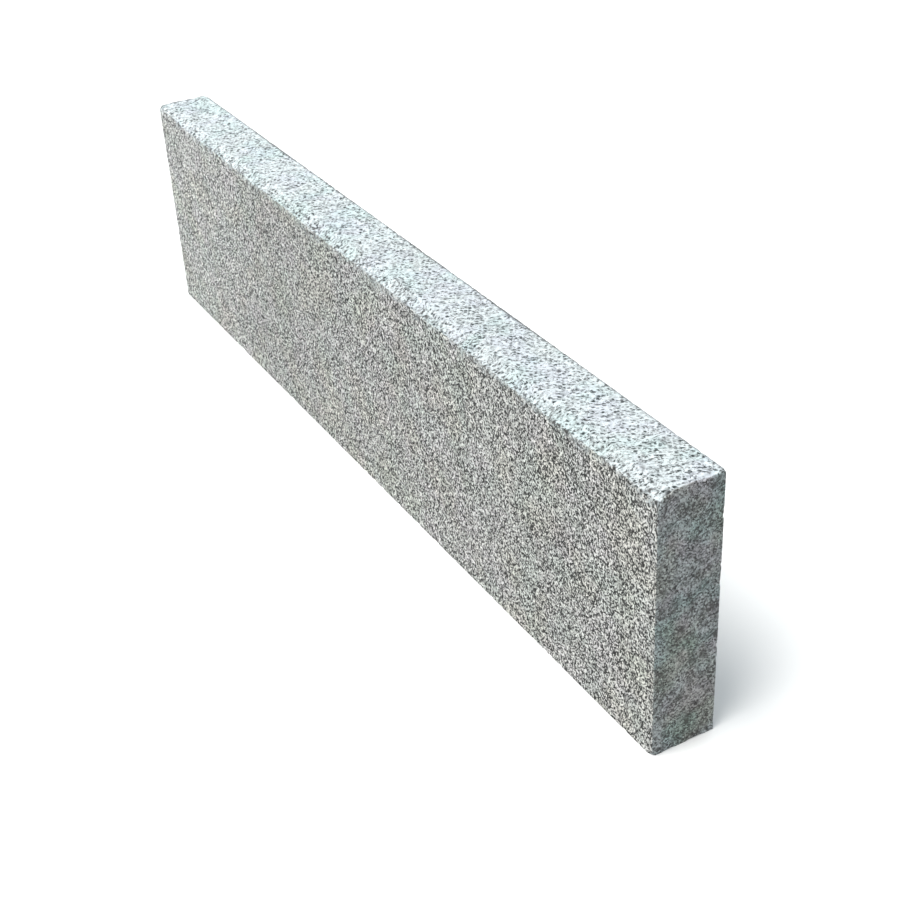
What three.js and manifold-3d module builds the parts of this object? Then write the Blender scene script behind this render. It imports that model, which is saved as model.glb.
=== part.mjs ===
// Granite edging kerb: one length of grey granite, sawn on its underside, front, back
// and ends, and stood on its narrow underside. The top is roughened, so it is a little
// uneven, and its front arris is hewn by hand into a low bevel. Each blow of the tool
// left a shallow scoop, so both edges of the bevel wander.
//
// Frame, in millimetres: +X runs along the stone, -Y is the exposed front face, +Z is
// up, and the origin is the centre of the underside.

import * as THREE from 'three';
import { mergeVertices } from 'three/addons/utils/BufferGeometryUtils.js';
import Module from 'manifold-3d';

const wasm = await Module();
wasm.setup();

// ---- the sawn stone ----

const LENGTH = 1000;
const HEIGHT = 250;
const THICKNESS = 60;

// ---- the roughened top ----

const TOP_UNEVENNESS = 1.6;      // from its highest place to its lowest
const TOP_WAVE_LENGTH = 170;     // from one high place to the next, along the stone
const TOP_WAVE_ACROSS = 46;      // the same, from front to back
const TOP_STRIPS = 4;            // facets across the top
const STATION_PITCH = 12.5;      // length of one facet along the stone
const BACK_ARRIS = 1.5;          // the back arris is knocked off this much

// ---- the hewn bevel on the front arris ----

const BEVEL_BACK = 10;           // how far it runs back across the top
const BEVEL_BACK_FAR = 4;        // the same at the far end, where less was hewn off
const BEVEL_DOWN = 7.4;          // how far it runs down the front face, on average
const BEVEL_DOWN_FAR = 3.8;      // the same at the far end
const BEVEL_SMALL_RUN = 130;     // how far from the far end it is smaller
const BEVEL_SAG = 0.5;           // its lower edge sinks and rises this far in one long wave
const BEVEL_SAG_LENGTH = 1250;
const BEVEL_SAG_LOWEST = 200;    // where along X that wave is lowest
const BEVEL_RIPPLE = 0.7;        // and this far in a shorter one
const BEVEL_RIPPLE_LENGTH = 190;

// ---- the blows of the tool ----

const BLOW_PITCH = 10;           // mean distance between two blows
const BLOW_RADIUS = 24;          // roundness of the scoop that a blow leaves
const BLOW_DEPTH = 1.4;          // mean depth of a scoop below the bevel, where it is widest
const BLOW_DEPTH_SPREAD = 0.6;   // a scoop is deeper or shallower by up to this
const BLOW_STRAY = 3;            // a blow lands up to this far off its mark
const BLOW_SEED = 11;

// ---- spalls broken out at the corners ----

// Each is bitten out by a rough ellipsoid with these half sizes along, across and down,
// whose centre stands proud of the corner by a little, so that the bite is shallow.

const END_SPALL = { along: 9, across: 17, down: 6, proud: 3.4, from_back: 15 };
const BEVEL_SPALL = { along: 4.5, across: 3, down: 4, proud: 0.8, from_front: 9 };
const ARRIS_SPALL = { along: 5, across: 4, down: 11, proud: 2 };
const FOOT_SPALL = { along: 8, across: 6, down: 8, proud: 2.5 };
const FAR_SPALL = { along: 16, across: 6, down: 6, proud: 2.5 };

const GRANITE = new THREE.MeshStandardMaterial({
  name: 'granite',
  color: 0xa3a39f,
  roughness: 0.88,
  metalness: 0,
});

const FRONT = -THICKNESS / 2;
const BACK = THICKNESS / 2;
const TOP_BACK = BACK - BACK_ARRIS;
const NEAR_END = LENGTH / 2;
const FAR_END = -LENGTH / 2;

// ---- solids ----

function toSolid(geometry) {
  const bare = geometry.clone();
  bare.deleteAttribute('normal');
  bare.deleteAttribute('uv');
  const merged = mergeVertices(bare, 1e-4);
  const mesh = new wasm.Mesh({
    numProp: 3,
    vertProperties: new Float32Array(merged.attributes.position.array),
    triVerts: new Uint32Array(merged.index.array),
  });
  return new wasm.Manifold(mesh);
}

function toGeometry(solid) {
  const mesh = solid.getMesh();
  const geometry = new THREE.BufferGeometry();
  geometry.setAttribute('position', new THREE.BufferAttribute(mesh.vertProperties, 3));
  geometry.setIndex(new THREE.BufferAttribute(mesh.triVerts, 1));
  return geometry;
}

// ---- the lines that the tool followed ----

function wave(x, length) {
  return (2 * Math.PI * x) / length;
}

// Height of the top at a place: its highest is HEIGHT.
function topHeight(x, y) {
  const along = Math.sin(wave(x, TOP_WAVE_LENGTH));
  const across = Math.cos(wave(y, TOP_WAVE_ACROSS) + wave(x, 2.3 * TOP_WAVE_LENGTH));
  return HEIGHT - TOP_UNEVENNESS * (0.5 + 0.25 * along + 0.25 * across);
}

// The bevel grows smoothly from a small size at the far end to its full one.
function grown(x, atFarEnd, full) {
  const share = THREE.MathUtils.smoothstep(x - FAR_END, 0, BEVEL_SMALL_RUN);
  return THREE.MathUtils.lerp(atFarEnd, full, share);
}

// How far the bevel runs back across the top.
function bevelBack(x) {
  return grown(x, BEVEL_BACK_FAR, BEVEL_BACK);
}

// Height of the bevel's lower edge on the front face.
function bevelFootHeight(x) {
  const sag = BEVEL_SAG * Math.cos(wave(x - BEVEL_SAG_LOWEST, BEVEL_SAG_LENGTH));
  const ripple = BEVEL_RIPPLE * Math.sin(wave(x, BEVEL_RIPPLE_LENGTH));
  return HEIGHT - grown(x, BEVEL_DOWN_FAR, BEVEL_DOWN) - sag + ripple;
}

// ---- the sawn stone with its top and bevel ----

// The section, seen from the near end: Y runs from front to back, Z upwards.
function sectionShape() {
  const section = new THREE.Shape();
  section.moveTo(FRONT, 0);
  section.lineTo(BACK, 0);
  section.lineTo(BACK, HEIGHT - BACK_ARRIS);
  const topFront = FRONT + BEVEL_BACK;
  for (let i = 0; i <= TOP_STRIPS; i += 1) {
    section.lineTo(THREE.MathUtils.lerp(TOP_BACK, topFront, i / TOP_STRIPS), HEIGHT);
  }
  section.lineTo(FRONT, HEIGHT - BEVEL_DOWN);
  section.closePath();
  return section;
}

function sawnStone() {
  const steps = Math.max(1, Math.round(LENGTH / STATION_PITCH));
  const block = new THREE.ExtrudeGeometry(sectionShape(), {
    depth: LENGTH,
    steps,
    bevelEnabled: false,
  });
  const lengthways = new THREE.Matrix4().makeBasis(
    new THREE.Vector3(0, 1, 0),
    new THREE.Vector3(0, 0, 1),
    new THREE.Vector3(1, 0, 0),
  );
  block.applyMatrix4(lengthways);
  block.translate(FAR_END, 0, 0);

  const points = block.attributes.position;
  for (let i = 0; i < points.count; i += 1) {
    const x = points.getX(i);
    const y = points.getY(i);
    const z = points.getZ(i);
    if (z > HEIGHT - BACK_ARRIS / 2) {
      const fromBack = (TOP_BACK - y) / (TOP_BACK - FRONT - BEVEL_BACK);
      const spreadY = THREE.MathUtils.lerp(TOP_BACK, FRONT + bevelBack(x), fromBack);
      points.setY(i, spreadY);
      points.setZ(i, topHeight(x, spreadY));
    } else if (y < 0 && z > HEIGHT / 2) {
      points.setZ(i, bevelFootHeight(x));
    }
  }
  return toSolid(block);
}

// ---- the scoops that hewed the bevel ----

function hewnScoops() {
  THREE.MathUtils.seededRandom(BLOW_SEED);
  const stray = (most) => (2 * THREE.MathUtils.seededRandom() - 1) * most;

  const scoops = [];
  const blows = Math.round(LENGTH / BLOW_PITCH);
  for (let i = 0; i <= blows; i += 1) {
    const x = FAR_END + (LENGTH * i) / blows + stray(BLOW_STRAY);
    const headY = FRONT + bevelBack(x);
    const foot = new THREE.Vector3(x, FRONT, bevelFootHeight(x));
    const head = new THREE.Vector3(x, headY, topHeight(x, headY));
    const slope = head.clone().sub(foot);
    const outward = new THREE.Vector3(0, -slope.z, slope.y).normalize();
    const mark = foot.lerp(head, 0.5 + stray(BLOW_STRAY) / slope.length());
    const narrowed = bevelBack(x) / BEVEL_BACK;
    const depth = (BLOW_DEPTH + stray(BLOW_DEPTH_SPREAD)) * narrowed;
    mark.addScaledVector(outward, BLOW_RADIUS - depth);

    const ball = new THREE.IcosahedronGeometry(BLOW_RADIUS, 2);
    ball.rotateX(stray(Math.PI));
    ball.rotateY(stray(Math.PI));
    ball.translate(mark.x, mark.y, mark.z);
    scoops.push(toSolid(ball));
  }
  return scoops;
}

// ---- the spalls broken from the corners ----

function spall(size, corner, outwards, turn) {
  const centre = corner.clone().addScaledVector(outwards, size.proud);
  const pebble = new THREE.IcosahedronGeometry(1, 2);
  pebble.rotateY(turn);
  pebble.scale(size.along, size.across, size.down);
  pebble.translate(centre.x, centre.y, centre.z);
  return toSolid(pebble);
}

function cornerSpalls() {
  const onTopOfNearEnd = (y) => new THREE.Vector3(NEAR_END, y, topHeight(NEAR_END, y));
  const endTop = onTopOfNearEnd(BACK - END_SPALL.from_back);
  const bevelTop = onTopOfNearEnd(FRONT + BEVEL_SPALL.from_front);
  const arrisTop = new THREE.Vector3(NEAR_END, FRONT, bevelFootHeight(NEAR_END));
  const foot = new THREE.Vector3(NEAR_END, FRONT, 0);
  const farTop = new THREE.Vector3(FAR_END, BACK, HEIGHT - BACK_ARRIS);
  return [
    spall(END_SPALL, endTop, new THREE.Vector3(1, 0, 1), 0.3),
    spall(BEVEL_SPALL, bevelTop, new THREE.Vector3(1, 0, 0.5), 0.8),
    spall(ARRIS_SPALL, arrisTop, new THREE.Vector3(1, -1, 0), 0.2),
    spall(FOOT_SPALL, foot, new THREE.Vector3(1, -1, -1), 1.1),
    spall(FAR_SPALL, farTop, new THREE.Vector3(-1, 1, 1), 0.5),
  ];
}

// ---- assembly ----

const cuts = [...hewnScoops(), ...cornerSpalls()];
const stone = cuts.reduce((solid, cut) => solid.subtract(cut), sawnStone());

const kerbStone = new THREE.Mesh(toGeometry(stone), GRANITE);
kerbStone.name = 'kerb_stone';

const kerb = new THREE.Group();
kerb.name = 'granite_kerb';
kerb.add(kerbStone);

export default kerb;
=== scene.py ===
# %% [markdown]
# # A granite kerb stone
# A kerb stone is one length of granite, sawn on five sides. Its top is roughened so
# that it isn't slippery, and its front upper arris is hewn by hand into a low bevel.
# In this lesson the sawn body comes ready made, at its true size. We lay a fine net
# over it, press the marks of saw and hammer into the net, and then give it three
# finishes that are made from one set of mineral grains.

# %% Load the fixed frame
import math

import bmesh
import bpy
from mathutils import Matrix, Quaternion, Vector, noise
from mathutils.bvhtree import BVHTree


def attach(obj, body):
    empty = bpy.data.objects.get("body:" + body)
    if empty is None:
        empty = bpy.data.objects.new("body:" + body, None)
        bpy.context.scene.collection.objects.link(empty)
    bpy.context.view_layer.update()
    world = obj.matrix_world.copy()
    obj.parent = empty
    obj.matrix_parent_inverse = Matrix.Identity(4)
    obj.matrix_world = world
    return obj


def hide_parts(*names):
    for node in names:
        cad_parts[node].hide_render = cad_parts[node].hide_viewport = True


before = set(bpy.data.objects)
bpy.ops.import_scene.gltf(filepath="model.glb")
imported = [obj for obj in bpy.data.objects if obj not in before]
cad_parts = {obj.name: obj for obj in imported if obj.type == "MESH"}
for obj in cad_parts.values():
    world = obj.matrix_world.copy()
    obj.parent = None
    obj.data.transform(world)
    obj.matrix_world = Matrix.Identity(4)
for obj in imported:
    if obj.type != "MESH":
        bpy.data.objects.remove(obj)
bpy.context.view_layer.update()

MM = 0.001
SAME_PLACE = 1e-6        # in metres: two values closer than this are one place
BODY = "kerb_stone"
body_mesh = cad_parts[BODY].data
LOW = Vector([min(v.co[a] for v in body_mesh.vertices) for a in range(3)])
HIGH = Vector([max(v.co[a] for v in body_mesh.vertices) for a in range(3)])
print("stone, in mm:", [round(side / MM, 1) for side in HIGH - LOW])

# %% [markdown]
# ## Camera
# Three numbers fix a view: where the camera stands, what it points at and how much
# it leans. A camera that looks down on a long stone from near one end makes the far
# end look much smaller, so the lens is a short telephoto and not a wide angle.

# %% Camera
CAMERA_PLACE = Vector((1.2275, -0.5763, 0.8595))
CAMERA_TARGET = Vector((0.1900, -0.0302, 0.1248))
CAMERA_LEAN = math.radians(-3.392)
CAMERA_LENS = 61.72
CAMERA_SENSOR = 36.0
CAMERA_CLIP = 0.01       # nearer than this, in metres, nothing is seen

camera_data = bpy.data.cameras.new("camera")
camera_data.lens = CAMERA_LENS
camera_data.sensor_width = CAMERA_SENSOR
camera_data.sensor_fit = "HORIZONTAL"
camera_data.clip_start = CAMERA_CLIP
camera = bpy.data.objects.new("camera", camera_data)
bpy.context.scene.collection.objects.link(camera)
level = (CAMERA_TARGET - CAMERA_PLACE).to_track_quat("-Z", "Y")
camera.rotation_mode = "QUATERNION"
camera.rotation_quaternion = level @ Quaternion((0, 0, 1), CAMERA_LEAN)
camera.location = CAMERA_PLACE
bpy.context.scene.camera = camera
print("camera stands", round((CAMERA_TARGET - CAMERA_PLACE).length, 3), "m from its target")

# %% [markdown]
# ## The net
# The stone could be cut up with a voxel remesh, but that rounds every arris. Instead
# we build a box of square cells that has a vertex on each arris. Flat sawn faces need
# few cells. The top, the bevel and the arrises carry relief of a millimetre or two,
# so there each cell is cut into four by four.

# %% Build a box of square cells
CELL = 5.0 * MM
FINE_CUTS = 3


def steps(low, high, cell):
    count = max(1, round((high - low) / cell))
    return [low + (high - low) * i / count for i in range(count + 1)]


def box_net(low, high, cell):
    """A closed box of cells in a bmesh, with one vertex at each grid point."""
    axes = [steps(low[a], high[a], cell) for a in range(3)]
    last = [len(axis) - 1 for axis in axes]
    net = bmesh.new()
    made = {}

    def point(key):
        if key not in made:
            made[key] = net.verts.new([axes[a][key[a]] for a in range(3)])
        return made[key]

    for a in range(3):
        u, v = (a + 1) % 3, (a + 2) % 3
        for side in (0, last[a]):
            for i in range(last[u]):
                for j in range(last[v]):
                    ring = [(i, j), (i + 1, j), (i + 1, j + 1), (i, j + 1)]
                    if side == 0:
                        ring.reverse()
                    corners = []
                    for p, q in ring:
                        key = [0, 0, 0]
                        key[a], key[u], key[v] = side, p, q
                        corners.append(point(tuple(key)))
                    net.faces.new(corners)
    return net


net = box_net(LOW, HIGH, CELL)
print("coarse net:", len(net.faces), "cells")

# %% Cut the cells finer where the hammer worked
TOP_ZONE = 11 * MM       # how far the fine cells reach down from the top
ARRIS_ZONE = 5.5 * MM    # how far they reach from any other arris


def arris_distance(p):
    """How far a point on the box lies from the nearest arris."""
    gaps = sorted(min(p[a] - LOW[a], HIGH[a] - p[a]) for a in range(3))
    return gaps[1]


def is_fine(face):
    middle = face.calc_center_median()
    if middle.z > HIGH.z - TOP_ZONE:
        return middle.y < HIGH.y - MM or middle.z > HIGH.z - ARRIS_ZONE
    return arris_distance(middle) < ARRIS_ZONE


fine_edges = {edge for face in net.faces if is_fine(face) for edge in face.edges}
bmesh.ops.subdivide_edges(net, edges=list(fine_edges), cuts=FINE_CUTS, use_grid_fill=True)
bmesh.ops.triangulate(net, faces=[face for face in net.faces if len(face.verts) > 4])
print("fine net:", len(net.verts), "points")

# %% [markdown]
# ## Lay the net over the stone
# The sawn body already has the hewn bevel and the broken corners. A ray dropped from
# above tells how high the stone is at a place, and each column of the net is pressed
# down to that height. Then every point moves to the nearest place on the stone, which
# takes the net into the spalls. Points that moved far lie on broken stone.

# %% Press the net onto the stone
stone_tree = BVHTree.FromPolygons(
    [v.co for v in body_mesh.vertices],
    [list(p.vertices) for p in body_mesh.polygons],
)

INSET = 0.05 * MM         # keeps a dropped ray off the very edge of the stone
DEEP_INSET = 9 * MM       # used where the ray falls past a broken corner
WORKED_DEPTH = 14 * MM    # the bevel reaches no further down than this
SPALLED = 0.2 * MM        # a point that moves further than this lies on broken stone

heights = {}


def clamp(value, low, high):
    return max(low, min(high, value))


def stone_height(x, y):
    key = (round(x / MM, 3), round(y / MM, 3))
    if key in heights:
        return heights[key]
    for inset in (INSET, DEEP_INSET):
        start = Vector((
            clamp(x, LOW.x + inset, HIGH.x - inset),
            clamp(y, LOW.y + INSET, HIGH.y - INSET),
            HIGH.z + CELL,
        ))
        hit = stone_tree.ray_cast(start, Vector((0, 0, -1)))[0]
        if hit is not None and hit.z > HIGH.z - WORKED_DEPTH:
            break
    heights[key] = hit.z
    return hit.z


spots = [v.co.copy() for v in net.verts]
on_top = [abs(p.z - HIGH.z) < SAME_PLACE for p in spots]
broken = []
for vert, spot in zip(net.verts, spots):
    drop = stone_height(spot.x, spot.y) / HIGH.z
    pressed = Vector((spot.x, spot.y, spot.z * drop))
    nearest = stone_tree.find_nearest(pressed)[0]
    broken.append((nearest - pressed).length)
    vert.co = nearest
print("points on broken corners:", sum(b > SPALLED for b in broken))

# %% [markdown]
# ## Relief
# Granite breaks crystal by crystal. On the worked top each crystal is a small tilted
# facet that stands a little higher or lower than its neighbour, and here and there a
# grain is plucked out. The sawn faces are flat to a tenth of a millimetre. Arrises
# lose small chips. All of it is cut into the stone, never added, so the stone keeps
# its size.

# %% Measure relief at one place
CRYSTAL = 4.2 * MM           # width of one broken facet
FACET_STEP = 0.5 * MM        # how far a facet stands above or below the next
FACET_TILT = 0.2             # slope of a facet
SWELL = 15 * MM              # width of the gentler swells under the facets
SWELL_DEPTH = 1.1 * MM
SWELL_CONTRAST = 1.3
CALM_REACH = 7 * MM          # this near the back arris and the far end it is smoother
CALM_SHARE = 0.25            # share of the relief left on the very edge
SAWN_DEPTH = 0.10 * MM       # waviness that the saw left
SAWN_SWELL = 38 * MM
CRYSTAL_SHUFFLE = 7.31       # any number that gives neighbouring crystals other chances
# A fractal noise takes three values: its smoothness, how much finer each layer is than
# the one before, and the number of layers.
SWELL_LAYERS = (0.9, 2.1, 3)


def half(value):
    """Noise from -1..1 as a number from 0 to 1."""
    return clamp(0.5 + 0.5 * value, 0.0, 1.0)


def broken_crystals(p):
    """Depth of the facet that a point lies on."""
    distances, centres = noise.voronoi(p / CRYSTAL)
    chance = noise.cell_vector(centres[0] * CRYSTAL_SHUFFLE)
    away = p / CRYSTAL - centres[0]
    slope = away.dot(chance * 2 - Vector((1, 1, 1))) * FACET_TILT * CRYSTAL
    return FACET_STEP * abs(chance.x) + slope


def worked_depth(p):
    """How deep the relief of the worked top is at a point."""
    swell = half(SWELL_CONTRAST * noise.fractal(p / SWELL, *SWELL_LAYERS))
    calm = clamp(min(HIGH.y - p.y, p.x - LOW.x) / CALM_REACH, CALM_SHARE, 1.0)
    return calm * max(0.0, broken_crystals(p) + SWELL_DEPTH * swell)


def sawn_depth(p):
    """How deep the saw's waviness is at a point."""
    return SAWN_DEPTH * half(noise.noise(p / SAWN_SWELL))


print("crystals from front to back:", round((HIGH.y - LOW.y) / CRYSTAL))

# %% [markdown]
# ### Chips and plucked grains
# An arris has stone on two sides only, so it is the first place to break: small chips
# run along every arris, and bigger ones where the chisel struck. Each chip is deepest
# on its arris and runs out a few millimetres away. A plucked grain leaves a round pit.
# Scattered noise places most of them, and a short list places the widest.

# %% Measure the chips and the plucked grains
CHIP_LENGTH = 7 * MM
CHIP_DEPTH = 0.7 * MM
CHIP_REACH = 1.8 * MM        # how far a chip eats into each face
CHIP_RARITY = 0.22           # noise has to pass this before a chip starts
CHIP_STEEPNESS = 2.2
CHIP_LEAST = 0.07            # share of the depth that is worn off between two chips
CHIP_LAYERS = (0.8, 2.0, 3)
CHIP_ASIDE = Vector((3.1, 8.4, 5.2))    # reads the noise elsewhere than the swells do
FOOT_DEPTH = 1.6 * MM        # the chisel left bigger chips under the bevel
FOOT_REACH = 4.5 * MM
FOOT_RARITY = 0.02
END_DEPTH = 1.3 * MM         # and so did the blows near the top edge of the near end
END_REACH = 3 * MM
PLUCK_SPACING = 15 * MM
PLUCK_RADIUS = 1.9 * MM
PLUCK_DEPTH = 1.4 * MM
PLUCK_CHANCE = 0.4
PLUCK_SHUFFLE = 5.7
# Places of the widest plucked grains, seen from above, in metres.
BIG_PLUCKS = [
    (-0.451, -0.004), (0.212, 0.012), (0.309, 0.010), (0.385, -0.014),
    (0.442, 0.016), (0.463, -0.017), (0.499, -0.021),
]
BIG_PLUCK_RADIUS = 2.6 * MM


def foot_distance(spot):
    """How far a point on the box lies from the foot of the bevel."""
    return math.hypot(spot.y - LOW.y, HIGH.z - spot.z)


def end_distance(spot):
    """How far a point on the box lies from the top edge of the near end."""
    return math.hypot(HIGH.x - spot.x, HIGH.z - spot.z)


def chips(spot, gap, reach, depth, rarity):
    """How deep the chips bite at a point that lies this far from their arris."""
    if gap > reach:
        return 0.0
    nick = noise.fractal(spot / CHIP_LENGTH + CHIP_ASIDE, *CHIP_LAYERS)
    bite = max(0.0, nick - rarity)
    return depth * min(1.0, CHIP_STEEPNESS * bite + CHIP_LEAST) * (1 - gap / reach)


def chip_depth(spot):
    """The deepest of the three kinds of chips at a point on the box."""
    small = chips(spot, arris_distance(spot), CHIP_REACH, CHIP_DEPTH, CHIP_RARITY)
    big = chips(spot, foot_distance(spot), FOOT_REACH, FOOT_DEPTH, FOOT_RARITY)
    end = chips(spot, end_distance(spot), END_REACH, END_DEPTH, FOOT_RARITY)
    return max(small, big, end)


def plucked(p):
    """How far down a plucked grain's pit a point lies, from 0 to 1 at its bottom."""
    reach = min(math.hypot(p.x - x, p.y - y) for x, y in BIG_PLUCKS) / BIG_PLUCK_RADIUS
    distances, centres = noise.voronoi(p / PLUCK_SPACING)
    if half(noise.cell(centres[0] * PLUCK_SHUFFLE)) < PLUCK_CHANCE:
        reach = min(reach, distances[0] * PLUCK_SPACING / PLUCK_RADIUS)
    return max(0.0, 1 - reach * reach)


print("widest plucked grains:", len(BIG_PLUCKS))

# %% Cut the relief into the net
net.normal_update()
inward = [-v.normal.copy() for v in net.verts]
depths = []
pits = []
for vert, spot, top, fracture in zip(net.verts, spots, on_top, broken):
    place = vert.co.copy()
    rough = top or fracture > SPALLED
    pit = plucked(place) if rough else 0.0
    pits.append(pit)
    if rough:
        depth = worked_depth(place) + PLUCK_DEPTH * pit
    else:
        depth = sawn_depth(place)
    depths.append(depth + chip_depth(spot))

for vert, direction, depth in zip(net.verts, inward, depths):
    moved = vert.co + direction * depth
    vert.co = [clamp(moved[a], LOW[a], HIGH[a]) for a in range(3)]
print("deepest relief, mm:", round(max(depths) / MM, 2))

# %% [markdown]
# ## Bruises and a painted highlight
# The relief is in the points. What the finishes still need is to know where the hammer
# bruised the stone, so each point also gets a number for it: high on the worked top,
# lower along the arrises, and nought on the sawn faces. Below the bevel the bruise runs
# out in ragged fingers. Below the top edge of the near end the pale fingers are partly
# bruise and partly a painted highlight, where the edge catches the light.

# %% Measure how bruised the stone is, with a painted highlight below the near end's top edge
BRUISE_REACH = 2.4 * MM      # on each side of an arris
ARRIS_BRUISE = 0.5           # at most, on an arris that wasn't worked
ARRIS_PATCH = 6 * MM         # it comes and goes over about this length
RAGGED_REACH = 10 * MM       # at most this far below the bevel
RAGGED_LENGTH = 7 * MM
RAGGED_CONTRAST = 2.4
RAGGED_LAYERS = (0.7, 2.2, 3)
FINGER_EDGE = 1.6            # how sharply a finger of the bruise ends
END_BRUISE_AND_HIGHLIGHT_REACH = 4 * MM    # at most this far below the top edge of the near end, where the pale fingers are partly a painted highlight
TOP_BRUISE = 0.8
FOOT_BRUISE = 0.75           # at the foot of the bevel, on its own side
UNDER_BRUISE = 0.95          # and just below, where a finger of it runs down
CLIMB = 6 * MM               # from the foot it changes to the top's over this height


def ragged_at(spot):
    return half(RAGGED_CONTRAST * noise.fractal(spot / RAGGED_LENGTH, *RAGGED_LAYERS))


def bruise_and_highlight_at(spot, place, top, fracture):
    """Bruise from 0 to 1, below the near end's top edge partly a painted highlight: spot is on
    the box, place is the same point on the stone.
    """
    if top:
        climb = (place.z - stone_height(spot.x, LOW.y)) / CLIMB
        return FOOT_BRUISE + (TOP_BRUISE - FOOT_BRUISE) * clamp(climb + ragged_at(spot), 0.0, 1.0)
    if fracture > SPALLED:
        return TOP_BRUISE
    ragged = ragged_at(spot)
    below = foot_distance(spot) / (RAGGED_REACH * ragged + MM)
    # Below the near end's top edge this paleness is partly a painted highlight of the edge.
    below = min(below, end_distance(spot) / (END_BRUISE_AND_HIGHLIGHT_REACH * ragged + MM))
    under = UNDER_BRUISE * clamp(FINGER_EDGE * (1 - below), 0.0, 1.0)
    near = max(0.0, 1 - arris_distance(spot) / BRUISE_REACH)
    return max(under, near * ARRIS_BRUISE * half(noise.noise(spot / ARRIS_PATCH)))


bruises_and_highlights = [
    bruise_and_highlight_at(spot, vert.co, top, fracture)
    for spot, vert, top, fracture in zip(spots, net.verts, on_top, broken)
]
print("mean bruise:", round(sum(bruises_and_highlights) / len(bruises_and_highlights), 3))

# %% [markdown]
# ## Dirt and painted shade
# A second number darkens the stone where it was marked. Most of it is painted shade: in
# the plucked pits, in small holes at the foot of the bevel, faintly just below the bevel,
# and in a thin line along the back and far edges of the top. The rest is dirt, which
# stays where rain can't wash it out: a faint stain where rain ran down the front. Each
# has a measure of its own, and the strongest of them counts.

# %% Measure the dirt and the painted shade
LINE_WIDTH = 2.8 * MM        # of the painted shade along the back arris and the far top edge
LINE_BELOW = 2               # it is this many times narrower below the arris
LINE_ON_ARRIS = 0.4              # share of it left on the very arris
LINE_FAINT = 0.6             # share of it left beside the near end
LINE_FADES = (0.30, 0.36)    # it gets fainter between these places, in metres
LINE_EDGE = 2.2              # how sharply its sides end
LINE_PATCH = 55 * MM         # it comes and goes over about this length
LINE_EVENNESS = 1.05
LINE_PATCHINESS = 0.9
HOLE_SIZE = 3.2 * MM         # small holes of painted shade along the foot of the bevel
HOLE_REACH = 9 * MM          # fainter beyond half of this
HOLE_RARITY = 0.28
HOLE_EDGE = 7                # how sharply a hole ends
HOLE_SHADE = 0.95
FOOT_SHADE_REACH = 9 * MM     # a hint of painted shade below the foot, as under the bevel's lip
FOOT_SHADE = 0.03
# painted shade in the plucked pits
PIT_SHADE = 0.75
STAIN = 0.18                 # the rain's stain on the front, where it is darkest
STAIN_START = -0.32          # it starts, is darkest and ends at these places, in metres
STAIN_DARKEST = -0.22
STAIN_END = 0.02
STAIN_WANDER = 0.03          # its edges stray this far
STAIN_WANDER_LENGTH = 60 * MM
STAIN_AT_FOOT = 0.3          # share of it left at the foot of the stone


def shade_line_at(spot):
    """The thin line of painted shade along the back and far edges of the top."""
    inside = min(HIGH.y - spot.y, spot.x - LOW.x)
    gap = math.hypot(inside, LINE_BELOW * (HIGH.z - spot.z))
    on_arris = LINE_ON_ARRIS if inside < INSET else 1.0
    patchy = LINE_EVENNESS + LINE_PATCHINESS * noise.noise(spot / LINE_PATCH)
    faded = clamp((spot.x - LINE_FADES[0]) / (LINE_FADES[1] - LINE_FADES[0]), 0.0, 1.0)
    share = on_arris * clamp(patchy, 0.0, 1.0) * (1 - (1 - LINE_FAINT) * faded)
    return clamp(LINE_EDGE * (1 - gap / LINE_WIDTH), 0.0, 1.0) * share


def shade_holes_at(spot):
    """The small dark holes of painted shade along the foot of the bevel."""
    share = clamp(2 - 2 * foot_distance(spot) / HOLE_REACH, 0.0, 1.0)
    hole = clamp(HOLE_EDGE * (noise.noise(spot / HOLE_SIZE) - HOLE_RARITY), 0.0, 1.0)
    return HOLE_SHADE * share * hole


def stain_at(spot):
    """The rain's stain, on the front only."""
    if spot.y > LOW.y + SAME_PLACE:
        return 0.0
    x = spot.x + STAIN_WANDER * noise.noise(spot / STAIN_WANDER_LENGTH)
    rise = clamp((x - STAIN_START) / (STAIN_DARKEST - STAIN_START), 0.0, 1.0)
    fall = clamp((STAIN_END - x) / (STAIN_END - STAIN_DARKEST), 0.0, 1.0)
    run = STAIN_AT_FOOT + (1 - STAIN_AT_FOOT) * spot.z / HIGH.z
    return STAIN * min(rise, fall) * run


# Dirt, and painted shade in pits, holes, below the bevel and along the top's back and far edges:
# the strongest counts.
def dirt_and_shade_at(spot, top, pit):
    most = max(shade_line_at(spot), shade_holes_at(spot), stain_at(spot))
    if top:
        return max(most, PIT_SHADE * pit)
    share = clamp(1 - foot_distance(spot) / FOOT_SHADE_REACH, 0.0, 1.0)
    return max(most, FOOT_SHADE * share)


dirt_and_shade = [dirt_and_shade_at(spot, top, pit) for spot, top, pit in zip(spots, on_top, pits)]
print("mean dirt:", round(sum(dirt_and_shade) / len(dirt_and_shade), 3))

# %% [markdown]
# ## From net to stone
# Each face gets one of three finishes. The worked top and the broken corners share one,
# the wide front and back another, and the ends and the underside the third. The bruise
# with its painted highlight, and the dirt together with the painted shade, become
# attributes of the mesh, which a material can read at any point.

# %% Make the stone
# Two finishes are one sawn granite: a copy with painted shade and a copy with painted light.
SAWN_PAINTED_SHADE, SAWN_PAINTED_LIGHT, WORKED = 0, 1, 2


def on_wide_face(spot):
    return min(spot.y - LOW.y, HIGH.y - spot.y) < SAME_PLACE


def finish_of(face):
    if all(on_top[v.index] for v in face.verts):
        return WORKED
    if all(broken[v.index] > SPALLED for v in face.verts):
        return WORKED
    if all(on_wide_face(spots[v.index]) for v in face.verts):
        return SAWN_PAINTED_LIGHT
    return SAWN_PAINTED_SHADE


for face in net.faces:
    face.smooth = True
    face.material_index = finish_of(face)

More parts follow.
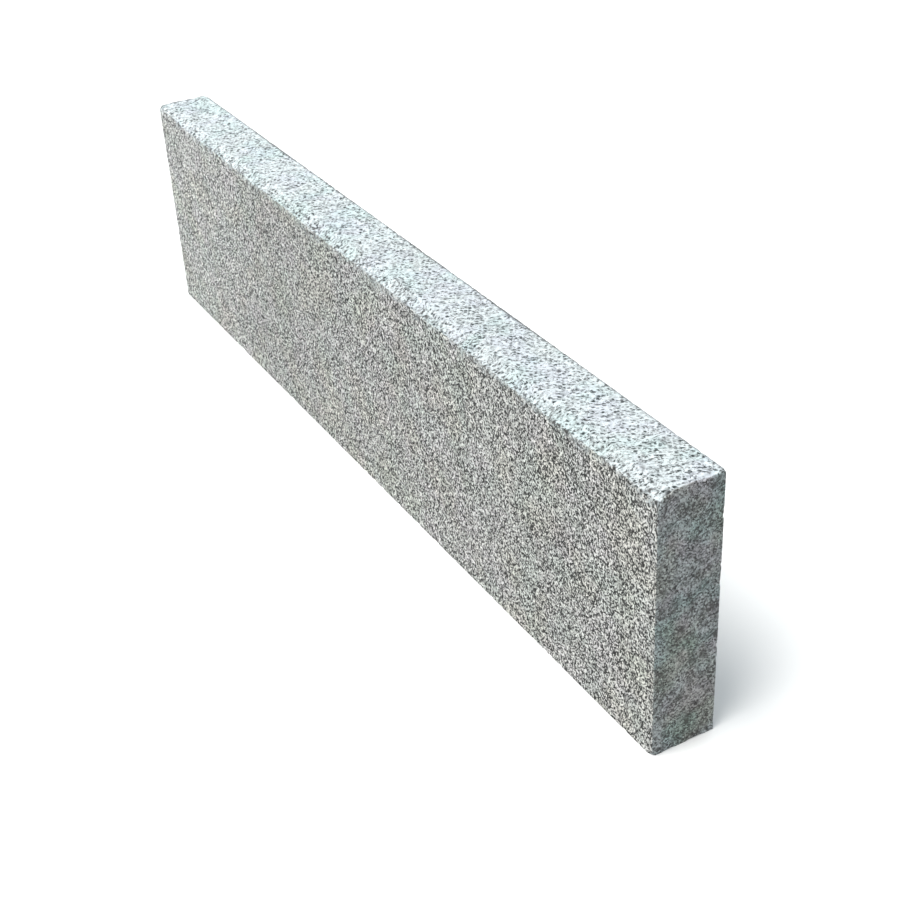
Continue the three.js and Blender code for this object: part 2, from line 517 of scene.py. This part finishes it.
stone_mesh = bpy.data.meshes.new("granite_kerb")
net.to_mesh(stone_mesh)
net.free()
for name, values in (("bruise_and_highlight", bruises_and_highlights), ("dirt_and_shade", dirt_and_shade)):
    layer = stone_mesh.attributes.new(name, "FLOAT", "POINT")
    layer.data.foreach_set("value", values)
stone = bpy.data.objects.new("granite_kerb", stone_mesh)
bpy.context.scene.collection.objects.link(stone)
print("stone:", len(stone_mesh.vertices), "points",
      sum(len(p.vertices) - 2 for p in stone_mesh.polygons), "triangles")

# %% [markdown]
# ## Node groups
# All three finishes are the same rock, so its mineral grains are one node group that
# each material holds with its own values. Its texture is in object space, as if the
# crystals went right through the stone.

# %% Helpers for wiring nodes
def new_group(name, inputs, outputs):
    group = bpy.data.node_groups.new(name, "ShaderNodeTree")
    for label, kind, value in inputs:
        socket = group.interface.new_socket(label, in_out="INPUT", socket_type=kind)
        if value is not None:
            socket.default_value = value
    for label, kind in outputs:
        group.interface.new_socket(label, in_out="OUTPUT", socket_type=kind)
    start = group.nodes.new("NodeGroupInput")
    end = group.nodes.new("NodeGroupOutput")
    return group, start, end


def feed(tree, socket, value):
    """Link a socket to another one, or give it a plain value."""
    if isinstance(value, bpy.types.NodeSocket):
        tree.links.new(value, socket)
    else:
        socket.default_value = value


def node(tree, kind, settings=None, **inputs):
    """Add a node. A socket is named as it is, with _ for a space."""
    made = tree.nodes.new(kind)
    for name, value in (settings or {}).items():
        setattr(made, name, value)
    for name, value in inputs.items():
        feed(tree, made.inputs[name.replace("_", " ")], value)
    return made


def math_node(tree, operation, *values, clamp_result=False):
    made = tree.nodes.new("ShaderNodeMath")
    made.operation = operation
    made.use_clamp = clamp_result
    for socket, value in zip(made.inputs, values):
        feed(tree, socket, value)
    return made.outputs[0]


def vector_node(tree, operation, *values):
    made = tree.nodes.new("ShaderNodeVectorMath")
    made.operation = operation
    for socket, value in zip(made.inputs, values):
        feed(tree, socket, value)
    return made.outputs["Value" if operation == "DOT_PRODUCT" else "Vector"]


def mix_colours(tree, mode, factor, first, second):
    made = tree.nodes.new("ShaderNodeMix")
    made.data_type = "RGBA"
    made.blend_type = mode
    # A Mix node has one set of sockets for each data type: these are the colour's.
    for index, value in ((0, factor), (6, first), (7, second)):
        feed(tree, made.inputs[index], value)
    return made.outputs[2]


def grey(value):
    return (value, value, value)


def ramp(tree, factor, stops):
    """A ramp through greys: each stop is a position and how pale it is."""
    made = tree.nodes.new("ShaderNodeValToRGB")
    elements = made.color_ramp.elements
    while len(elements) > 1:
        elements.remove(elements[0])
    elements[0].position = stops[0][0]
    elements[0].color = (*grey(stops[0][1]), 1)
    for position, level in stops[1:]:
        elements.new(position).color = (*grey(level), 1)
    tree.links.new(factor, made.inputs[0])
    return made.outputs[0]


# %% [markdown]
# ### Mineral grains
# A Voronoi texture is a mosaic of cells, as granite is a mosaic of crystals. Each cell
# has a random colour, and its red, green and blue serve as three random numbers. In the
# first mosaic, red picks the mineral, from grey quartz to white feldspar, and blue says
# how easily the crystal bruises. A finer mosaic breaks the crystals up and keeps two of
# one mineral from being equally bright. Mica comes in little books of flakes, so a
# mosaic of its own places the dark grains. Noise bends the coordinates first, so that
# no cell has straight sides. Where the mason's strokes dragged the grains out, the
# coordinates are stretched along the strokes, and where a saw tore them, upwards.
# Another mosaic gives specks of painted shade: a dark dot in the middle of some of its
# cells, standing for a tiny pit in shadow, whose rim the finer mosaic nibbles, so that it
# isn't round. The last one tilts and lifts each crystal a little, for the relief.

# %% Group: granite grains
STROKE_ANGLE = math.radians(56)      # of the mason's strokes, from the stone's length
# The scale of a mosaic is the number of its cells in the width of one grain.
SHARD_SCALE = 2.2
BOOK_SCALE = 1.3
FACET_SCALE = 0.62
BEND_SCALE = 1.3
BEND = 0.6                           # a side of a cell is bent by half of this at most
CLOUD_SCALE = 60.0                   # of the faint clouds, per metre
FEW = 0.6                            # share of small mica grains beside the large ones
SPECK_EDGE = 1.6                     # how sharply a speck ends
SPECK_FILL = 1.9                     # how much of it is wholly dark
FACET_RISE = 0.12                    # how far a facet stands above or below the next
SHARD_RELIEF = 0.4                   # relief of the crystals beside that of the facets
MICA_DROP = 0.12                     # a mica grain lies this much lower
TONE_STOPS = [(0.16, 0.0), (0.42, 0.3), (0.62, 0.62), (0.86, 1.0)]
# Painted shade: each crystal darkens towards its rim, as if the gaps between crystals lay in
# shadow.
CREVICE_SHADE_STOPS = [(0.25, 1.0), (0.55, 0.8), (0.85, 0.2)]

grains, gin, gout = new_group(
    "granite_grains",
    [
        ("Grains per metre", "NodeSocketFloat", 600.0),
        ("Stretch", "NodeSocketFloat", 1.0),
        ("Upright stretch", "NodeSocketFloat", 1.0),
        ("Contrast", "NodeSocketFloat", 1.0),
        ("Fine share", "NodeSocketFloat", 0.4),
        ("Grain spread", "NodeSocketFloat", 0.2),
        ("Mottle", "NodeSocketFloat", 0.0),
        ("Crevice shade", "NodeSocketFloat", 0.0),
        ("Specks per grain", "NodeSocketFloat", 0.8),
        ("Speck size", "NodeSocketFloat", 0.3),
        ("Specks missing", "NodeSocketFloat", 0.5),
        ("Speck evenness", "NodeSocketFloat", 2.5),
        ("Speck raggedness", "NodeSocketFloat", 0.0),
        ("Mica", "NodeSocketFloat", 0.1),
        ("Feldspar", "NodeSocketColor", (0.8, 0.79, 0.75, 1)),
        ("Quartz", "NodeSocketColor", (0.2, 0.21, 0.21, 1)),
        ("Dark mineral", "NodeSocketColor", (0.04, 0.04, 0.04, 1)),
    ],
    [
        ("Colour", "NodeSocketColor"),
        ("Dark", "NodeSocketFloat"),
        ("Chance", "NodeSocketFloat"),
        ("Specks", "NodeSocketFloat"),
        ("Relief", "NodeSocketFloat"),
    ],
)


def facet_height(tree, coordinate, cells, cell_scale):
    """Height of a small tilted facet in every cell of a Voronoi texture."""
    away = vector_node(tree, "SUBTRACT", coordinate, cells.outputs["Position"])
    lean = vector_node(tree, "SUBTRACT", cells.outputs["Color"], grey(0.5))
    slope = vector_node(tree, "DOT_PRODUCT", away, lean)
    step = node(tree, "ShaderNodeSeparateColor", Color=cells.outputs["Color"]).outputs[2]
    return math_node(tree, "MULTIPLY_ADD", step, FACET_RISE / cell_scale, slope)


place = node(grains, "ShaderNodeTexCoord").outputs["Object"]
turned = node(
    grains, "ShaderNodeVectorRotate", {"rotation_type": "Z_AXIS"},
    Vector=place, Angle=-STROKE_ANGLE,
)
across = gin.outputs["Grains per metre"]
along = math_node(grains, "DIVIDE", across, gin.outputs["Stretch"])
upright = math_node(grains, "DIVIDE", across, gin.outputs["Upright stretch"])
density = node(grains, "ShaderNodeCombineXYZ", X=along, Y=across, Z=upright)
in_cells = vector_node(grains, "MULTIPLY", turned.outputs[0], density.outputs[0])
bend = node(grains, "ShaderNodeTexNoise", Vector=in_cells, Scale=BEND_SCALE, Detail=2.0)
bend = vector_node(grains, "MULTIPLY_ADD", bend.outputs["Color"], grey(BEND), grey(-BEND / 2))
bent = vector_node(grains, "ADD", in_cells, bend)

print("strokes lie at", round(math.degrees(STROKE_ANGLE)), "degrees to the stone's length")

# %% Granite grains: quartz and feldspar
mosaic = node(grains, "ShaderNodeTexVoronoi", Vector=bent, Scale=1.0)
pick = node(grains, "ShaderNodeSeparateColor", Color=mosaic.outputs["Color"])
shards = node(grains, "ShaderNodeTexVoronoi", Vector=bent, Scale=SHARD_SCALE)
shard_pick = node(grains, "ShaderNodeSeparateColor", Color=shards.outputs["Color"])
cloud = node(grains, "ShaderNodeTexNoise", Vector=place, Scale=CLOUD_SCALE, Detail=2.0)
finer = math_node(grains, "SUBTRACT", shard_pick.outputs[0], pick.outputs[0])
tone = math_node(grains, "MULTIPLY_ADD", finer, gin.outputs["Fine share"], pick.outputs[0])
tone = math_node(grains, "SUBTRACT", tone, 0.5)
tone = math_node(grains, "MULTIPLY_ADD", tone, gin.outputs["Contrast"], 0.5)
drift = math_node(grains, "SUBTRACT", cloud.outputs["Fac"], 0.5)
tone = math_node(grains, "MULTIPLY_ADD", drift, gin.outputs["Mottle"], tone)
share = ramp(grains, tone, TONE_STOPS)
rock = mix_colours(grains, "MIX", share, gin.outputs["Quartz"], gin.outputs["Feldspar"])
rock = mix_colours(grains, "MULTIPLY", gin.outputs["Grain spread"], rock, shard_pick.outputs[2])
print("from quartz to feldspar over", len(TONE_STOPS), "stops")

# %% Granite grains: mica and painted crevice shade
mica_level = math_node(grains, "MULTIPLY", cloud.outputs["Fac"], gin.outputs["Mica"])
mica_level = math_node(grains, "MULTIPLY", mica_level, 2.0)      # a cloud is 0.5 on average
books = node(grains, "ShaderNodeTexVoronoi", Vector=bent, Scale=BOOK_SCALE)
book_pick = node(grains, "ShaderNodeSeparateColor", Color=books.outputs["Color"])
big_dark = math_node(grains, "LESS_THAN", book_pick.outputs[1], mica_level)
few = math_node(grains, "MULTIPLY", mica_level, FEW)
small_dark = math_node(grains, "LESS_THAN", shard_pick.outputs[1], few)
dark = math_node(grains, "MAXIMUM", big_dark, small_dark)
rock = mix_colours(grains, "MIX", dark, rock, gin.outputs["Dark mineral"])
# Painted shade in the gaps between crystals, not a colour of the rock.
crevice_shade = ramp(grains, mosaic.outputs["Distance"], CREVICE_SHADE_STOPS)
rock = mix_colours(grains, "MULTIPLY", gin.outputs["Crevice shade"], rock, crevice_shade)
grains.links.new(rock, gout.inputs["Colour"])
grains.links.new(dark, gout.inputs["Dark"])
grains.links.new(pick.outputs[2], gout.inputs["Chance"])
print("crevices darken over", len(CREVICE_SHADE_STOPS), "stops")

# %% Granite grains: specks and relief
holes = node(
    grains, "ShaderNodeTexVoronoi", Vector=bent, Scale=gin.outputs["Specks per grain"]
)
hole_pick = node(grains, "ShaderNodeSeparateColor", Color=holes.outputs["Color"])
# Specks are painted shade: each dark dot stands for a tiny pit in shadow.
pit_shade_dot = math_node(grains, "DIVIDE", holes.outputs["Distance"], gin.outputs["Speck size"])
nibble = math_node(grains, "SUBTRACT", shard_pick.outputs[2], 0.5)
pit_shade_dot = math_node(grains, "MULTIPLY_ADD", nibble, gin.outputs["Speck raggedness"], pit_shade_dot)
pit_shade_dot = math_node(grains, "MULTIPLY_ADD", pit_shade_dot, -SPECK_EDGE, SPECK_FILL, clamp_result=True)
present = math_node(grains, "SUBTRACT", hole_pick.outputs[0], gin.outputs["Specks missing"])
present = math_node(
    grains, "MULTIPLY", present, gin.outputs["Speck evenness"], clamp_result=True
)
grains.links.new(math_node(grains, "MULTIPLY", pit_shade_dot, present), gout.inputs["Specks"])

facets = node(grains, "ShaderNodeTexVoronoi", Vector=bent, Scale=FACET_SCALE)
relief = facet_height(grains, bent, facets, FACET_SCALE)
shard_relief = facet_height(grains, bent, mosaic, 1.0)
relief = math_node(grains, "MULTIPLY_ADD", shard_relief, SHARD_RELIEF, relief)
relief = math_node(grains, "MULTIPLY_ADD", dark, -MICA_DROP, relief)
grains.links.new(relief, gout.inputs["Relief"])
print("group", grains.name, "has", len(grains.nodes), "nodes")

# %% [markdown]
# ### Bruising
# A hammer leaves granite paler, because every crystal it hits is crazed with tiny
# cracks that scatter light. Feldspar goes nearly white, and dark flakes keep most of
# their colour. Where a small crystal has dropped out, its hole is painted nearly black,
# as painted shade in the pit. On the wide sawn faces such painted pits only show where
# the hammer's bruise runs into them.

# %% Group: bruising
# The colour of the painted shade in tiny pits.
PIT_SHADE_COLOUR = (0.04, 0.05, 0.052, 1)
CRUSH_SCALE = 260.0          # of the noise that says how finely the stone is crushed
CRUSH_STOPS = [(0.34, 0.0), (0.6, 1.0)]
HIT_REACH = 1.15             # above 1, a full bruise reaches every crystal
HIT_EDGE = 5.0               # how sharply a crystal is either hit or missed
MICA_SPARED = 0.85           # share of its colour that a dark flake keeps

bruising, gin, gout = new_group(
    "bruising",
    [
        ("Colour", "NodeSocketColor", None),
        ("Dark", "NodeSocketFloat", 0.0),
        ("Chance", "NodeSocketFloat", 0.5),
        ("Specks", "NodeSocketFloat", 0.0),
        ("Amount", "NodeSocketFloat", 1.0),
        ("Pale", "NodeSocketColor", (0.72, 0.76, 0.77, 1)),
        ("Pale spread", "NodeSocketFloat", 0.1),
        ("Least crushed", "NodeSocketFloat", 0.4),
        ("Speck depth", "NodeSocketFloat", 0.5),
        ("Specks if bruised", "NodeSocketFloat", 0.0),
    ],
    [("Colour", "NodeSocketColor"), ("Powder", "NodeSocketFloat")],
)
where = node(bruising, "ShaderNodeTexCoord").outputs["Object"]
crush = node(bruising, "ShaderNodeTexNoise", Vector=where, Scale=CRUSH_SCALE, Detail=4.0)
crushed = ramp(bruising, crush.outputs["Fac"], CRUSH_STOPS)
crushed = math_node(bruising, "MAXIMUM", crushed, gin.outputs["Least crushed"])
hit = math_node(bruising, "MULTIPLY", gin.outputs["Amount"], HIT_REACH)
hit = math_node(bruising, "SUBTRACT", hit, gin.outputs["Chance"])
hit = math_node(bruising, "MULTIPLY", hit, HIT_EDGE, clamp_result=True)
spared = math_node(bruising, "MULTIPLY_ADD", gin.outputs["Dark"], -MICA_SPARED, 1.0)
powder = math_node(bruising, "MULTIPLY", crushed, spared)
powder = math_node(bruising, "MULTIPLY", powder, hit, clamp_result=True)
duller = math_node(bruising, "MULTIPLY", gin.outputs["Pale spread"], gin.outputs["Chance"])
pale = mix_colours(bruising, "MIX", duller, gin.outputs["Pale"], (0, 0, 0, 1))
pale = mix_colours(bruising, "MIX", powder, gin.outputs["Colour"], pale)
shade = math_node(
    bruising, "MULTIPLY_ADD", gin.outputs["Specks if bruised"], gin.outputs["Amount"],
    gin.outputs["Speck depth"],
)
shade = math_node(bruising, "MULTIPLY", gin.outputs["Specks"], shade, clamp_result=True)
# Painted shade: the specks turn nearly black, as pits in shadow look.
pit_shaded = mix_colours(bruising, "MIX", shade, pale, PIT_SHADE_COLOUR)
bruising.links.new(pit_shaded, gout.inputs["Colour"])
bruising.links.new(powder, gout.inputs["Powder"])
print("group", bruising.name, "has", len(bruising.nodes), "nodes")

# %% [markdown]
# ### Weathering
# No slab is one even grey. Iron, damp and the mix of minerals change its tint over a
# few centimetres: greener here, a little violet there, and yellower where iron has
# bled. Three noises place three tints. Dirt and painted shade go where the stone was
# marked for them.

# %% Group: weathering
# Name of the tint, patches per metre, and how far its noise is moved aside, in metres.
PATCHES = [("First tint", 26.0, 0.0), ("Second tint", 31.0, 0.37), ("Third tint", 19.0, 0.83)]
PATCH_STOPS = [(0.48, 0.0), (0.62, 1.0)]

weathering, gin, gout = new_group(
    "weathering",
    [
        ("Colour", "NodeSocketColor", None),
        ("Tint", "NodeSocketFloat", 1.0),
        ("First tint", "NodeSocketColor", (0.93, 1.02, 1.0, 1)),
        ("Second tint", "NodeSocketColor", (1.03, 0.98, 1.03, 1)),
        ("Third tint", "NodeSocketColor", (1.02, 1.0, 0.95, 1)),
        ("Dirty", "NodeSocketFloat", 0.0),
        ("Dirt", "NodeSocketColor", (0.1, 0.1, 0.1, 1)),
    ],
    [("Colour", "NodeSocketColor")],
)
where = node(weathering, "ShaderNodeTexCoord").outputs["Object"]
colour = gin.outputs["Colour"]
for name, per_metre, aside in PATCHES:
    moved = vector_node(weathering, "ADD", where, (aside, 0.3 * aside, 1.4 * aside))
    patch = node(weathering, "ShaderNodeTexNoise", Vector=moved, Scale=per_metre, Detail=2.0)
    share = ramp(weathering, patch.outputs["Fac"], PATCH_STOPS)
    share = math_node(weathering, "MULTIPLY", share, gin.outputs["Tint"], clamp_result=True)
    colour = mix_colours(weathering, "MULTIPLY", share, colour, gin.outputs[name])
# The attribute's dirt and painted shade darken the colour here.
colour = mix_colours(weathering, "MIX", gin.outputs["Dirty"], colour, gin.outputs["Dirt"])
weathering.links.new(colour, gout.inputs["Colour"])
print("group", weathering.name, "has", len(weathering.nodes), "nodes")

# %% [markdown]
# ### Surface
# Crushed stone is duller than a clean crystal face, and a fine grit lies over both.

# %% Group: granite surface
POWDER_ROUGHNESS = 0.95
GRIT_SCALE = 900.0

surface, gin, gout = new_group(
    "granite_surface",
    [
        ("Relief", "NodeSocketFloat", 0.0),
        ("Powder", "NodeSocketFloat", 0.0),
        ("Clean roughness", "NodeSocketFloat", 0.6),
        ("Grit", "NodeSocketFloat", 0.05),
    ],
    [("Roughness", "NodeSocketFloat"), ("Height", "NodeSocketFloat")],
)
where = node(surface, "ShaderNodeTexCoord").outputs["Object"]
grit = node(surface, "ShaderNodeTexNoise", Vector=where, Scale=GRIT_SCALE, Detail=3.0)
height = math_node(
    surface, "MULTIPLY_ADD", grit.outputs["Fac"], gin.outputs["Grit"], gin.outputs["Relief"]
)
surface.links.new(height, gout.inputs["Height"])
dulled = math_node(surface, "SUBTRACT", POWDER_ROUGHNESS, gin.outputs["Clean roughness"])
dulled = math_node(
    surface, "MULTIPLY_ADD", dulled, gin.outputs["Powder"], gin.outputs["Clean roughness"]
)
surface.links.new(dulled, gout.inputs["Roughness"])
print("group", surface.name, "has", len(surface.nodes), "nodes")

# %% [markdown]
# ## The three finishes
# The two sawn finishes are one sawn granite, in a shaded and a lit copy. The ends and the
# underside get the shaded copy: their grains show in plain contrast, a little greener and
# bluer, which is painted shade, and they have almost no relief. The wide front and back
# get the lit copy: its crystals look smaller and a little taller than wide, and their
# harder contrast is partly painted light and shade on the crystals' relief. The top and
# the bevel are bruised pale and rough, with a blue that is partly painted skylight, and
# dots of painted shade, standing for pits where crystals dropped out, lie along the
# mason's strokes.

# %% Wire one granite finish
def add_group(tree, group, values, **inputs):
    """Add a group and give its sockets the values that bear their names."""
    made = node(tree, "ShaderNodeGroup", {"node_tree": group}, **inputs)
    for socket in made.inputs:
        if socket.name in values:
            socket.default_value = values[socket.name]
    return made


def granite_finish(name, values):
    """A material that runs the four groups, each with the values of this finish."""
    material = bpy.data.materials.new(name)
    material.use_nodes = True
    tree = material.node_tree
    shader = tree.nodes["Principled BSDF"]
    rock = add_group(tree, grains, values)
    bruise_and_highlight_attribute = node(tree, "ShaderNodeAttribute", {"attribute_name": "bruise_and_highlight"})
    hit = add_group(
        tree, bruising, values,
        Colour=rock.outputs["Colour"], Dark=rock.outputs["Dark"],
        Chance=rock.outputs["Chance"], Specks=rock.outputs["Specks"],
        Amount=bruise_and_highlight_attribute.outputs["Fac"],
    )
    # This attribute holds dirt and painted shade.
    dirt_and_shade_attribute = node(tree, "ShaderNodeAttribute", {"attribute_name": "dirt_and_shade"})
    weathered = add_group(
        tree, weathering, values, Colour=hit.outputs["Colour"], Dirty=dirt_and_shade_attribute.outputs["Fac"]
    )
    tree.links.new(weathered.outputs["Colour"], shader.inputs["Base Color"])
    skin = add_group(
        tree, surface, values, Relief=rock.outputs["Relief"], Powder=hit.outputs["Powder"]
    )
    tree.links.new(skin.outputs["Roughness"], shader.inputs["Roughness"])
    bump = node(tree, "ShaderNodeBump", Height=skin.outputs["Height"], Strength=1.0,
                Distance=values["Relief depth"])
    tree.links.new(bump.outputs["Normal"], shader.inputs["Normal"])
    shader.inputs["Specular IOR Level"].default_value = values["Specular"]
    return material


# %% Mix the three finishes
# The shaded copy: its blue-green tint and crevice shade are painted shade.
sawn_painted_shade = granite_finish("sawn_granite_painted_shade", {
    "Grains per metre": 670.0,
    "Stretch": 1.0,
    "Upright stretch": 1.0,
    "Contrast": 1.15,
    "Fine share": 0.31,
    "Grain spread": 0.15,
    "Mottle": 1.15,
    "Crevice shade": 0.44,
    "Specks per grain": 0.9,
    "Speck size": 0.32,
    "Specks missing": 0.6,
    "Speck evenness": 2.5,
    "Speck raggedness": 0.0,
    "Mica": 0.046,
    "Feldspar": (0.746, 0.80, 0.809, 1),
    "Quartz": (0.099, 0.103, 0.099, 1),
    "Dark mineral": (0.046, 0.046, 0.046, 1),
    "Pale": (0.70, 0.76, 0.78, 1),
    "Pale spread": 0.1,
    "Least crushed": 0.35,
    "Speck depth": 0.2,
    "Specks if bruised": 0.0,
    "Dirt": (0.18, 0.18, 0.175, 1),
    "Tint": 1.0,
    "First tint": (0.87, 1.0, 0.975, 1),
    "Second tint": (1.03, 0.95, 0.99, 1),
    "Third tint": (1.02, 1.0, 0.91, 1),
    "Clean roughness": 0.62,
    "Grit": 0.05,
    "Relief depth": 1.67 * MM,
    "Specular": 0.35,
})
# The lit copy: its hard contrast is partly painted light and shade on the crystals' relief.
sawn_painted_light = granite_finish("sawn_granite_painted_light", {
    "Grains per metre": 880.0,
    "Stretch": 1.0,
    "Upright stretch": 1.32,
    "Contrast": 5.2,
    "Fine share": 0.0,
    "Grain spread": 0.1,
    "Mottle": 0.72,
    "Crevice shade": 0.0,
    "Specks per grain": 0.6,
    "Speck size": 0.5,
    "Specks missing": 0.35,
    "Speck evenness": 2.0,
    "Speck raggedness": 0.6,
    "Mica": 0.03,
    "Feldspar": (0.846, 0.855, 0.826, 1),
    "Quartz": (0.04, 0.0413, 0.04, 1),
    "Dark mineral": (0.041, 0.041, 0.041, 1),
    "Pale": (0.72, 0.77, 0.78, 1),
    "Pale spread": 0.1,
    "Least crushed": 0.35,
    "Speck depth": 0.0,
    "Specks if bruised": 1.0,
    "Dirt": (0.07, 0.07, 0.068, 1),
    "Tint": 0.9,
    "First tint": (0.955, 1.0, 0.98, 1),
    "Second tint": (1.01, 0.98, 1.015, 1),
    "Third tint": (1.015, 1.0, 0.955, 1),
    "Clean roughness": 0.7,
    "Grit": 0.05,
    "Relief depth": 2.0 * MM,
    "Specular": 0.3,
})
worked = granite_finish("worked_granite", {
    "Grains per metre": 700.0,
    "Stretch": 1.6,
    "Upright stretch": 1.0,
    "Contrast": 1.8,
    "Fine share": 0.8,
    "Grain spread": 0.1,
    "Mottle": 1.0,
    "Crevice shade": 0.0,
    "Specks per grain": 0.6,
    "Speck size": 0.55,
    "Specks missing": 0.22,
    "Speck evenness": 1.6,
    "Speck raggedness": 0.6,
    "Mica": 0.045,
    # The blue of this feldspar and of the pale is partly painted skylight.
    "Feldspar": (0.66, 0.70, 0.715, 1),
    "Quartz": (0.212, 0.23, 0.235, 1),
    "Dark mineral": (0.037, 0.041, 0.042, 1),
    "Pale": (0.725, 0.79, 0.815, 1),
    "Pale spread": 0.17,
    "Least crushed": 0.89,
    "Speck depth": 1.0,
    "Specks if bruised": 0.0,
    "Dirt": (0.073, 0.073, 0.073, 1),
    "Tint": 0.9,
    "First tint": (0.925, 1.0, 0.985, 1),
    "Second tint": (0.985, 0.965, 1.01, 1),
    "Third tint": (1.0, 1.0, 0.985, 1),
    "Clean roughness": 0.75,
    "Grit": 0.08,
    "Relief depth": 0.7 * MM,
    "Specular": 0.3,
})
for finish in (sawn_painted_shade, sawn_painted_light, worked):
    stone_mesh.materials.append(finish)
print("finishes:", [m.name for m in stone_mesh.materials])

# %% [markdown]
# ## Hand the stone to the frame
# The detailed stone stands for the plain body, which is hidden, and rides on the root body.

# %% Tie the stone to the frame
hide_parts(BODY)
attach(stone, "root")
print(stone.name, "stands for", BODY)

# %% [markdown]
# ## Floor and light
# A pale floor catches the shadow. It looks white to the camera, but throws less light
# back at the stone than a white floor would, or the end in shade would lose its
# shape. One broad lamp from the front and above does most of the work. A small one
# near the far end and a large soft one behind lift the places that it leaves dark.

# %% Floor
FLOOR_SIZE = 14.0
FLOOR_WHITE = 0.97
FLOOR_BOUNCE = 0.385
FLOOR_ROUGHNESS = 0.9
FLOOR_GLOSS = 0.1


def seen_directly(tree):
    """1 where a ray comes from the camera, off gloss or through glass, and 0 elsewhere."""
    ray = node(tree, "ShaderNodeLightPath")
    seen = math_node(tree, "MAXIMUM", ray.outputs["Is Camera Ray"], ray.outputs["Is Glossy Ray"])
    return math_node(tree, "MAXIMUM", seen, ray.outputs["Is Transmission Ray"])


bpy.ops.mesh.primitive_plane_add(size=FLOOR_SIZE, location=(0, 0, 0))
floor = bpy.context.object
floor.name = "floor"
floor_material = bpy.data.materials.new("pale_floor")
floor_material.use_nodes = True
floor_tree = floor_material.node_tree
floor_shader = floor_tree.nodes["Principled BSDF"]
floor_colour = mix_colours(
    floor_tree, "MIX", seen_directly(floor_tree),
    (*grey(FLOOR_BOUNCE), 1), (*grey(FLOOR_WHITE), 1),
)
floor_tree.links.new(floor_colour, floor_shader.inputs["Base Color"])
floor_shader.inputs["Roughness"].default_value = FLOOR_ROUGHNESS
floor_shader.inputs["Specular IOR Level"].default_value = FLOOR_GLOSS
floor.data.materials.append(floor_material)
print("floor:", FLOOR_SIZE, "m square")

# %% Light
KEY_STRENGTH = 3.7
KEY_SOFTNESS = math.radians(45)
KEY_FROM = Vector((-0.05, -0.50, 0.86))
KEY_COLOUR = (1.0, 0.975, 0.945)
FILL_POWER = 3.7
FILL_SIZE = 0.5
FILL_PLACE = Vector((-0.95, -0.62, 0.55))
FILL_TARGET = Vector((-0.5, -0.03, 0.16))
FILL_COLOUR = (0.92, 0.97, 1.0)
BACK_POWER = 28.0
BACK_SIZE = 2.2
BACK_PLACE = Vector((-0.5, 2.2, 0.9))
BACK_TARGET = Vector((0.0, 0.03, 0.1))
SKY_STRENGTH = 0.455
SKY_COLOUR = (0.86, 0.95, 1.0, 1)


def add_lamp(name, kind, strength, colour, place, facing, **shape):
    """Add a lamp that shines against the vector facing: from it towards the stone."""
    data = bpy.data.lights.new(name, kind)
    data.energy = strength
    data.color = colour
    for key, value in shape.items():
        setattr(data, key, value)
    lamp = bpy.data.objects.new(name, data)
    lamp.rotation_mode = "QUATERNION"
    lamp.rotation_quaternion = facing.to_track_quat("Z", "Y")
    lamp.location = place
    bpy.context.scene.collection.objects.link(lamp)


add_lamp("key", "SUN", KEY_STRENGTH, KEY_COLOUR, KEY_FROM * 2, KEY_FROM, angle=KEY_SOFTNESS)
add_lamp(
    "fill", "AREA", FILL_POWER, FILL_COLOUR, FILL_PLACE, FILL_PLACE - FILL_TARGET,
    size=FILL_SIZE,
)
add_lamp(
    "back_fill", "AREA", BACK_POWER, FILL_COLOUR, BACK_PLACE, BACK_PLACE - BACK_TARGET,
    size=BACK_SIZE,
)

world = bpy.data.worlds.new("studio")
world.use_nodes = True
world_tree = world.node_tree
backdrop = world_tree.nodes["Background"]
seen = seen_directly(world_tree)
sky = mix_colours(world_tree, "MIX", seen, SKY_COLOUR, (1, 1, 1, 1))
world_tree.links.new(sky, backdrop.inputs["Color"])
strength = math_node(world_tree, "MULTIPLY_ADD", seen, 1 - SKY_STRENGTH, SKY_STRENGTH)
world_tree.links.new(strength, backdrop.inputs["Strength"])
bpy.context.scene.world = world
bpy.context.scene.view_settings.view_transform = "Standard"
print("lamps:", [lamp.name for lamp in bpy.data.lights])
